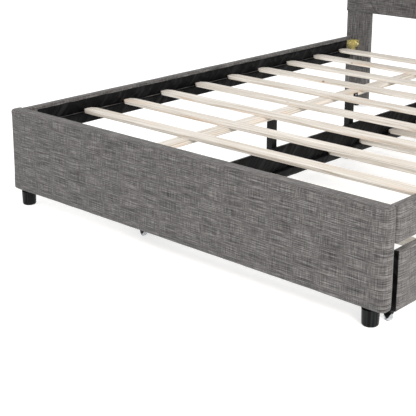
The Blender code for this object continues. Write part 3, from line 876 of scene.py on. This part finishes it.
def eased(node_name, name, radius, material):
    """A copy of a CAD piece with its sharp edges rounded over, standing for that piece."""
    builder = bmesh.new()
    builder.from_mesh(frame["nodes"][node_name].data)
    bmesh.ops.remove_doubles(builder, verts=builder.verts, dist=MERGE)
    bmesh.ops.dissolve_limit(builder, angle_limit=FLAT_ANGLE, verts=builder.verts,
                             edges=builder.edges)
    sharp = [e for e in builder.edges if e.calc_face_angle(0.0) > SHARP_ANGLE]
    bmesh.ops.bevel(builder, geom=sharp, offset=radius, segments=2, profile=0.5,
                    affect="EDGES", clamp_overlap=True)
    mesh = bpy.data.meshes.new(name)
    builder.to_mesh(mesh)
    builder.free()
    stale = mesh.attributes.get("custom_normal")
    if stale:
        mesh.attributes.remove(stale)
    mesh.shade_smooth()
    mesh.set_sharp_from_angle(angle=SHARP_ANGLE)
    mesh.materials.clear()
    mesh.materials.append(material)
    made = bpy.data.objects.new(name, mesh)
    bpy.context.scene.collection.objects.link(made)
    made.modifiers.new("Flat faces", "WEIGHTED_NORMAL").keep_sharp = True
    settled(made)
    fixed(made, body_of(node_name), node_name)


def dressed(node_name, material):
    """Gives a CAD node, whose shape stays, its finish."""
    materials = frame["nodes"][node_name].data.materials
    materials.clear()
    materials.append(material)


def turned_ring(name, profile, centre, axis, material, segments=40):
    """A solid turned about an axis from (radius, height) points, closed at both ends."""
    direction = Vector(axis).normalized()
    side = direction.orthogonal().normalized()
    other = direction.cross(side)
    points = []
    for radius, height in profile:
        for step in range(segments):
            angle = 2 * math.pi * step / segments
            points.append(Vector(centre) + direction * height
                          + (side * math.cos(angle) + other * math.sin(angle)) * radius)
    faces = []
    for ring in range(len(profile) - 1):
        for step in range(segments):
            following = (step + 1) % segments
            a, b = ring * segments, (ring + 1) * segments
            faces.append((a + step, a + following, b + following, b + step))
    faces.append(tuple(range(segments))[::-1])
    last = (len(profile) - 1) * segments
    faces.append(tuple(range(last, last + segments)))
    made = new_piece(name, points, faces, [material])
    builder = bmesh.new()
    builder.from_mesh(made.data)
    bmesh.ops.recalc_face_normals(builder, faces=builder.faces)
    builder.to_mesh(made.data)
    builder.free()
    made.data.set_sharp_from_angle(angle=RING_SHARP_ANGLE)
    return made


# Operators

LINING_INSET = 16 * MM          # a lining starts this far above a board's lower edge
FOOT_LINING_SHORT = 34 * MM     # and is this much shorter than the footboard
HEAD_LINING_SHORT = 36 * MM     # or than the headboard's core
FOOT_LINING_ROOM = 54 * MM      # it stays clear of the brackets beside it
RAIL_END_ROOM = 2.5 * MM        # rail covers stop short of the footboard and posts
SCREW_SEAT = 3.3 * MM           # a bracket's 3 mm sheet and a little more
LEG_CAP_HEIGHT = 18 * MM
LEG_SCREW_DROP = 7 * MM         # a saddle screw's middle, under the leg's top


class BedOperator:
    bl_options = {"REGISTER", "UNDO"}


class BED_OT_footboard(BedOperator, Operator):
    """Padded footboard, wrapped in linen, with lining stapled on its inside"""

    bl_idname = "bed.footboard"
    bl_label = "Footboard"

    def execute(self, context):
        cloth = context.scene.bed_cloth
        low, high = kept_off(*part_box("footboard"), cloth.swell * 0.6, "XZ")
        low.y += cloth.swell * 0.6
        cover = wrapped_board("footboard_cover", low, high, "-Y", plan=18 * MM, edge=12 * MM,
                              shift=(0.3, 0.8))
        padded_cover(cover, "footboard", 0.07, 0.7 * MM, 1, outward=(0, -1, 0.35),
                     lift=cloth.swell)
        width = 2 * (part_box("side_rail_right")[0].x - FOOT_LINING_ROOM)
        lining = lining_sheet(
            "footboard_lining", (width / 2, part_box("footboard")[1].y, low.z + LINING_INSET),
            (-1, 0, 0), UP, width, high.z - low.z - FOOT_LINING_SHORT, 5.0,
            lift=4 * MM)
        staples("footboard_staples", lining)
        return {"FINISHED"}


class BED_OT_side_rails(BedOperator, Operator):
    """Side rails: linen outside and over the top, lining inside above the slat ledge"""

    bl_idname = "bed.side_rails"
    bl_label = "Side rails"

    def execute(self, context):
        cloth = context.scene.bed_cloth
        for side, sign in SIDES:
            node_name = "side_rail_" + side
            low, high = kept_off(*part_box(node_name), cloth.swell * 0.4, "Z")
            if sign > 0:
                high.x -= cloth.swell * 0.4
            else:
                low.x += cloth.swell * 0.4
            low.y += RAIL_END_ROOM
            high.y -= RAIL_END_ROOM
            outer, inner = ("+X", "-X") if sign > 0 else ("-X", "+X")
            cover = wrapped_board("rail_cover_" + side, low, high, outer, plan=9 * MM,
                                  edge=8 * MM, shift=(2.1 + sign, 0.4))
            padded_cover(cover, node_name, 0.08, 0.6 * MM, 2 + sign, outward=(sign, 0, 0.35),
                         lift=cloth.swell * 0.7)
            ledge_name = "slat_ledge_" + side
            ledge_low, ledge_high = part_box(ledge_name)
            lined_board("ledge_cover_" + side, ledge_low, ledge_high, inner, 0.03, 0.5 * MM,
                        5 + sign, ledge_name, "bed_frame")
            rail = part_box(node_name)
            bottom = ledge_high.z + 1.5 * MM
            start = ledge_high if sign > 0 else ledge_low
            lining_sheet("rail_lining_" + side,
                         (rail[0 if sign > 0 else 1].x, start.y, bottom), (0, -sign, 0), UP,
                         ledge_high.y - ledge_low.y, rail[1].z - 15 * MM - bottom, 9.0 + sign,
                         lift=7.0 * MM, near=0.5 * MM,
                         low_limit=0.6 * MM)
        return {"FINISHED"}


def seam_paths(low, high):
    """The headboard's sewn lines as (x, z) runs: each half has a tall facet and a kite."""
    foot, top = low.z, high.z
    runs = []
    for sign in (-1.0, 1.0):
        for first, last in (((0.440, foot), (0.300, top)), ((0.632, foot), (high.x, 0.706)),
                            ((high.x, 0.706), (0.343, 0.910)), ((0.560, top), (high.x, 0.905)),
                            ((0.397, 0.670), (0.0, 0.985)), ((0.470, 0.858), (0.560, top))):
            runs.append([(sign * first[0], first[1]), (sign * last[0], last[1])])
    runs += [[(-0.170, foot), (0.0, 0.640)], [(0.170, foot), (0.0, 0.640)],
             [(0.0, 0.640), (0.0, 0.985)]]
    return runs


def distance_to(points, run):
    """Distance in the plane from each point to a straight run."""
    a, b = np.array(run[0]), np.array(run[1])
    along = b - a
    share = np.clip(((points - a) @ along) / (along @ along), 0.0, 1.0)
    return np.linalg.norm(points - (a + share[:, None] * along), axis=1)


CHANNEL_LINES = (-2.4, -1.0, 0.0, 1.0, 2.4)     # mesh lines, in half widths of a sewn line
CHANNEL_REACH = 20 * MM     # faces further than this from a sewn line aren't cut
HOLLOW_SHARE = 7            # the foam falls towards a line from this many half widths away


def cut_along(piece, runs, wide):
    """Adds mesh lines beside each sewn run on the front, for its channel to fold on."""
    builder = bmesh.new()
    builder.from_mesh(piece.data)
    for first, last in runs:
        builder.faces.ensure_lookup_table()
        centres = np.array([f.calc_center_median() for f in builder.faces])
        facing = np.array([f.normal.y for f in builder.faces])
        near = distance_to(centres[:, (0, 2)], (first, last)) < CHANNEL_REACH
        close = near & (facing < -0.5)
        faces = [builder.faces[int(i)] for i in np.flatnonzero(close)]
        along = Vector((last[0] - first[0], 0.0, last[1] - first[1])).normalized()
        side = Vector((along.z, 0.0, -along.x))
        area = list({e for f in faces for e in (f, *f.edges, *f.verts)})
        for share in CHANNEL_LINES:
            plane = Vector((first[0], 0.0, first[1])) + side * (share * wide)
            area = bmesh.ops.bisect_plane(builder, geom=area, dist=0.2 * MM, plane_co=plane,
                                          plane_no=side)["geom"]
    builder.to_mesh(piece.data)
    builder.free()


def sew(piece, runs, cloth):
    """Pulls the cover in along the sewn runs, and marks each seam's groove for painted shade in
    the cloth's colour.
    """
    points = points_of(piece.data)
    front = np.clip(-normals_of(piece.data)[:, 1] * 2.0 - 0.4, 0.0, 1.0)
    near = np.full(len(points), 1.0)
    for run in runs:
        near = np.minimum(near, distance_to(points[:, (0, 2)], run))
    channel = np.exp(-(near / cloth.seam_wide) ** 2)
    hollow = np.exp(-(near / (HOLLOW_SHARE * cloth.seam_wide)) ** 1.5)
    points[:, 1] += front * (channel * cloth.seam_deep + hollow * cloth.facet_crown)
    set_points(piece.data, points)
    # painted shade: how strongly the linen's colour is darkened in each seam's groove
    crease = piece.data.attributes.new("crease", "FLOAT", "POINT")
    crease.data.foreach_set("value", (front * channel ** 2).astype(np.float32))


class BED_OT_headboard(BedOperator, Operator):
    """Headboard: a padded front sewn in facets, over a lined core between the posts"""

    bl_idname = "bed.headboard"
    bl_label = "Headboard"

    def execute(self, context):
        cloth = context.scene.bed_cloth
        low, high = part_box("headboard_panel")
        post_low, post_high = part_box("headboard_post_right")
        front_high = Vector((high.x, post_low.y - 0.3 * MM, high.z))
        start, end = kept_off(low, front_high, 1.2 * MM, "XZ")
        start.y += cloth.swell * 0.5
        pad = wrapped_board("headboard_pad", start, end, "-Y", plan=6 * MM, edge=6 * MM,
                            shift=(5.3, 1.1), step=9.5 * MM)
        swell(pad, (0, -1, 0.1), cloth.swell)
        runs = seam_paths(start, end)
        cut_along(pad, runs, cloth.seam_wide)
        subdivided(pad)
        uneven(pad, 0.09, 0.8 * MM, 4)
        sew(pad, runs, cloth)
        fixed(pad, "bed_frame", "headboard_panel")

        inner = post_low.x - 0.5 * MM
        front = front_high.y + 0.2 * MM
        core = wrapped_board("headboard_core", (-inner, front, low.z + 2 * MM),
                             (inner, high.y, post_high.z - 1 * MM), "+Y", plan=5 * MM,
                             edge=5 * MM, shift=(8.0, 3.0), step=20 * MM)
        cap = wrapped_board("headboard_cap", (low.x + 2 * MM, front, post_high.z + 0.5 * MM),
                            (high.x - 2 * MM, high.y, high.z - 2 * MM), "+Y", plan=6 * MM,
                            edge=7 * MM, shift=(11.0, 3.0), step=20 * MM)
        for piece in (core, cap):
            uneven(piece, 0.08, 0.6 * MM, 6)
            fixed(piece, "bed_frame")
        lining = lining_sheet(
            "headboard_lining", (inner - 12 * MM, high.y, low.z + LINING_INSET),
            (-1, 0, 0), UP, 2 * inner - 24 * MM, post_high.z - low.z - HEAD_LINING_SHORT,
            12.0, lift=1.8 * MM, near=0.6 * MM)
        staples("headboard_staples", lining)

        level = start.y + cloth.seam_deep + cloth.facet_crown - cloth.swell * 0.9
        paths = []
        for run in runs:
            first, last = (Vector((x, level, z)) for x, z in run)
            step = (last - first).normalized() * (8 * MM)
            paths.append([first + step, last - step])
        name = "headboard_stitches"
        grown(name, path_mesh(name, paths), rods_on_path(),
              {"Pitch": context.scene.bed_fitting.stitch_pitch, "Length": 4.2 * MM,
               "Thickness": 1.1 * MM, "Turn": 0.05, "Facing": (0.0, -1.0, 0.0),
               "Material": sewing_thread()})
        return {"FINISHED"}


class BED_OT_posts(BedOperator, Operator):
    """Headboard posts wrapped in upright linen, on plastic glides"""

    bl_idname = "bed.posts"
    bl_label = "Posts"

    def execute(self, context):
        for side, sign in SIDES:
            post = "headboard_post_" + side
            cover = wrapped_board("post_cover_" + side, *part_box(post), "-Y", plan=5 * MM,
                                  edge=4 * MM, upright_cloth=True, shift=(1.7, 6.0 + sign))
            padded_cover(cover, post, 0.06, 0.5 * MM, 8 + sign)
            dressed("post_glide_" + side, moulded_plastic())
        return {"FINISHED"}


class BED_OT_feet(BedOperator, Operator):
    """Turned plastic feet under the footboard"""

    bl_idname = "bed.feet"
    bl_label = "Feet"

    def execute(self, context):
        for side, _ in SIDES:
            dressed("footboard_foot_" + side, drawn_foot())
        return {"FINISHED"}


class BED_OT_slats(BedOperator, Operator):
    """Pine slats of the bed and the trundle, and the support rail, with eased edges"""

    bl_idname = "bed.slats"
    bl_label = "Slats and support rail"

    def execute(self, context):
        easing = context.scene.bed_timber.easing
        for node_name in sorted(frame["nodes"]):
            if node_name.startswith(("bed_slat_", "trundle_slat_")):
                eased(node_name, node_name + "_eased", easing, planed_pine("X"))
        eased("support_rail", "support_rail_eased", easing, planed_pine("Y"))
        return {"FINISHED"}


class BED_OT_legs(BedOperator, Operator):
    """Powder-coated legs under the support rail, with plastic caps and saddle screws"""

    bl_idname = "bed.legs"
    bl_label = "Support legs"

    def execute(self, context):
        places = []
        for number in range(1, 5):
            node_name = f"support_leg_{number}"
            eased(node_name, node_name + "_coated", 1.0 * MM, powder_coat())
            low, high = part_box(node_name)
            middle = (low + high) / 2
            half = (high.y - low.y) / 2 + 1.5 * MM
            cap = wrapped_board(f"leg_cap_{number}",
                                (middle.x - half, middle.y - half, 0.0),
                                (middle.x + half, middle.y + half, LEG_CAP_HEIGHT),
                                "-Y", 3 * MM, 2 * MM, [moulded_plastic()], step=8 * MM)
            fixed(cap, "bed_frame")
            height = high.z - LEG_SCREW_DROP
            for edge, sign in ((low.x, -1.0), (high.x, 1.0)):
                places.append((Vector((edge, middle.y, height)), (sign, 0.0, 0.0)))
        screws("leg_screws", places, 3.6 * MM, 1.8 * MM, bright_steel())
        return {"FINISHED"}


class BED_OT_brackets(BedOperator, Operator):
    """Yellow-zinc corner brackets with their bolts and screws"""

    bl_idname = "bed.brackets"
    bl_label = "Corner brackets"

    def execute(self, context):
        places = []
        for side, sign in SIDES:
            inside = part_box("side_rail_" + side)[0 if sign > 0 else 1].x
            for end in ("foot", "head"):
                name = f"corner_bracket_{end}_{side}"
                eased(name, name + "_pressed", 0.7 * MM, chromate_zinc())
                dressed(f"corner_bolt_{end}_{side}", chromate_zinc())
                low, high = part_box(name)
                face = inside - sign * SCREW_SEAT
                middle_y = (low.y + high.y) / 2
                for share in (0.22, 0.78):
                    height = low.z + (high.z - low.z) * share
                    places.append((Vector((face, middle_y, height)), (-sign, 0.0, 0.0)))
        screws("bracket_screws", places, 4.6 * MM, 2.4 * MM, chromate_zinc())
        return {"FINISHED"}


class BED_OT_trundle_front(BedOperator, Operator):
    """Upholstered front panel of the trundle, lined on its ends and inside"""

    bl_idname = "bed.trundle_front"
    bl_label = "Trundle front"

    def execute(self, context):
        cloth = context.scene.bed_cloth
        low, high = kept_off(*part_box("trundle_front_panel"), cloth.swell * 0.3, "Z")
        high.x -= cloth.swell * 0.3
        cover = wrapped_board("trundle_front_cover", low, high, "+X", plan=4 * MM,
                              edge=6 * MM, materials=[woven_linen(), spunbond_lining()],
                              sides_lined=(LEFT, RIGHT, BACK), shift=(14.0, 2.0))
        padded_cover(cover, "trundle_front_panel", 0.08, 0.6 * MM, 11, outward=(1, 0, 0.2),
                     lift=cloth.swell * 0.6, body="trundle")
        return {"FINISHED"}


class BED_OT_trundle_box(BedOperator, Operator):
    """Lined boards and ledges of the trundle"""

    bl_idname = "bed.trundle_box"
    bl_label = "Trundle boards"

    def execute(self, context):
        for seed, (name, facing) in enumerate((
                ("trundle_back_board", "-X"), ("trundle_foot_board", "-Y"),
                ("trundle_head_board", "+Y"), ("trundle_ledge_back", "+X"),
                ("trundle_ledge_front", "-X"))):
            low, high = kept_off(*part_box(name), 0.4 * MM, "XYZ")
            lined_board(name + "_lined", low, high, facing, 0.05, 0.9 * MM, 20 + seed, name,
                        "trundle")
        return {"FINISHED"}


class BED_OT_casters(BedOperator, Operator):
    """Small casters: moulded housings, clear wheels and bright hubs"""

    bl_idname = "bed.casters"
    bl_label = "Casters"

    def execute(self, context):
        for end in ("foot", "head"):
            for side in ("front", "back"):
                place = f"{end}_{side}"
                dressed("caster_housing_" + place, moulded_plastic())
                wheel = "caster_wheel_" + place
                dressed(wheel, clear_wheel())
                low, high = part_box(wheel)
                middle = (low + high) / 2
                half = (high.y - low.y) / 2
                outer = half + 0.35 * MM
                # a shallow dished cap that stands a little proud of the wheel's face
                profile = [(6.6 * MM, half - 0.6 * MM), (7.0 * MM, half), (6.4 * MM, outer),
                           (4.6 * MM, outer), (4.0 * MM, half), (3.0 * MM, half)]
                for face, sign in (("inner", -1.0), ("outer", 1.0)):
                    hub = turned_ring(f"wheel_hub_{place}_{face}", profile, middle,
                                      (0, sign, 0), bright_steel())
                    fixed(hub, body_of(wheel))
        return {"FINISHED"}


FLOOR_REACH = 14.0                    # radius of the round floor
FLOOR_RINGS, FLOOR_STEPS = 24, 96     # its squares outwards and round
# faint tall lights
STRIPS = ((-1.9, -5.2, 1.3), (3.9, -4.4, 1.3), (4.6, 2.6, 1.3))
EYE = (2.22707, -3.2931, 1.27599)     # where the camera stands
EYE_TURN = math.radians(-42.713)      # from +Y towards +X
EYE_TILT = math.radians(-17.099)
EYE_SHIFT = -0.1


def area_light(name, place, target, width, height, power, colour):
    """A rectangular light of this power in watts, facing the target."""
    data = bpy.data.lights.new(name, "AREA")
    data.shape = "RECTANGLE"
    data.size = width
    data.size_y = height
    data.energy = power
    data.color = colour
    made = bpy.data.objects.new(name, data)
    made.location = place
    made.rotation_mode = "QUATERNION"
    made.rotation_quaternion = (Vector(target) - Vector(place)).to_track_quat("-Z", "Y")
    bpy.context.scene.collection.objects.link(made)


class BED_OT_stage(BedOperator, Operator):
    """Pale floor, soft studio light and the camera"""

    bl_idname = "bed.stage"
    bl_label = "Stage"

    def execute(self, context):
        scene = context.scene
        scene.view_settings.view_transform = "Standard"
        rings, steps = FLOOR_RINGS, FLOOR_STEPS
        points = [(0.0, 0.0, 0.0)]
        for ring in range(1, rings + 1):
            for step in range(steps):
                angle = 2 * math.pi * step / steps
                reach = FLOOR_REACH * ring / rings
                points.append((reach * math.cos(angle), reach * math.sin(angle), 0.0))
        faces = [(0, 1 + step, 1 + (step + 1) % steps) for step in range(steps)]
        for ring in range(rings - 1):
            inner, outer = 1 + ring * steps, 1 + (ring + 1) * steps
            for step in range(steps):
                following = (step + 1) % steps
                faces.append((inner + step, outer + step, outer + following,
                              inner + following))
        new_piece("studio_floor", points, faces, [studio_paper()])
        world = bpy.data.worlds.new("Studio")
        world.use_nodes = True
        sky = world.node_tree.nodes["Background"].inputs
        sky["Color"].default_value = (*WHITE, 1.0)
        sky["Strength"].default_value = 1.0
        scene.world = world
        area_light("Key", (4.3, -2.9, 2.8), (0, 0, 0.2), width=1.6, height=1.6, power=230.0,
                   colour=linear("#fff8f0"))
        for number, place in enumerate(STRIPS):
            area_light(f"Strip_{number}", place, (0, 0, 0.3), width=0.22, height=2.4,
                       power=14.0, colour=WHITE)
        camera = bpy.data.objects.new("Camera", bpy.data.cameras.new("Camera"))
        camera.data.sensor_width = 36.0
        camera.data.lens = scene.bed_stage.lens
        camera.data.shift_y = EYE_SHIFT
        camera.data.clip_end = 60.0
        camera.location = EYE
        gaze = Vector((math.sin(EYE_TURN) * math.cos(EYE_TILT),
                       math.cos(EYE_TURN) * math.cos(EYE_TILT), math.sin(EYE_TILT)))
        camera.rotation_mode = "QUATERNION"
        camera.rotation_quaternion = gaze.to_track_quat("-Z", "Y")
        scene.collection.objects.link(camera)
        scene.camera = camera
        return {"FINISHED"}


class BED_PT_panel(Panel):
    bl_idname = "BED_PT_panel"
    bl_label = "Upholstered bed"
    bl_space_type = "VIEW_3D"
    bl_region_type = "UI"
    bl_category = "Bed"

    def draw(self, context):
        for group in SETTINGS:
            settings = getattr(context.scene, group)
            for name in settings.__class__.__annotations__:
                self.layout.prop(settings, name)
        for operator in OPERATORS:
            self.layout.operator(operator.bl_idname)


SETTINGS = {"bed_cloth": BedClothSettings, "bed_timber": BedTimberSettings,
            "bed_fitting": BedFittingSettings, "bed_stage": BedStageSettings}
OPERATORS = (BED_OT_stage, BED_OT_footboard, BED_OT_side_rails, BED_OT_headboard, BED_OT_posts,
             BED_OT_feet, BED_OT_slats, BED_OT_legs, BED_OT_brackets, BED_OT_trundle_front,
             BED_OT_trundle_box, BED_OT_casters)
CLASSES = (*SETTINGS.values(), *OPERATORS, BED_PT_panel)


def register():
    for made in CLASSES:
        bpy.utils.register_class(made)
    for name, group in SETTINGS.items():
        setattr(bpy.types.Scene, name, PointerProperty(type=group))


def unregister():
    for name in SETTINGS:
        delattr(bpy.types.Scene, name)
    for made in reversed(CLASSES):
        bpy.utils.unregister_class(made)


def main():
    register()
    for operator in OPERATORS:
        family, name = operator.bl_idname.split(".")
        getattr(getattr(bpy.ops, family), name)()


if __name__ == "__main__":
    main()
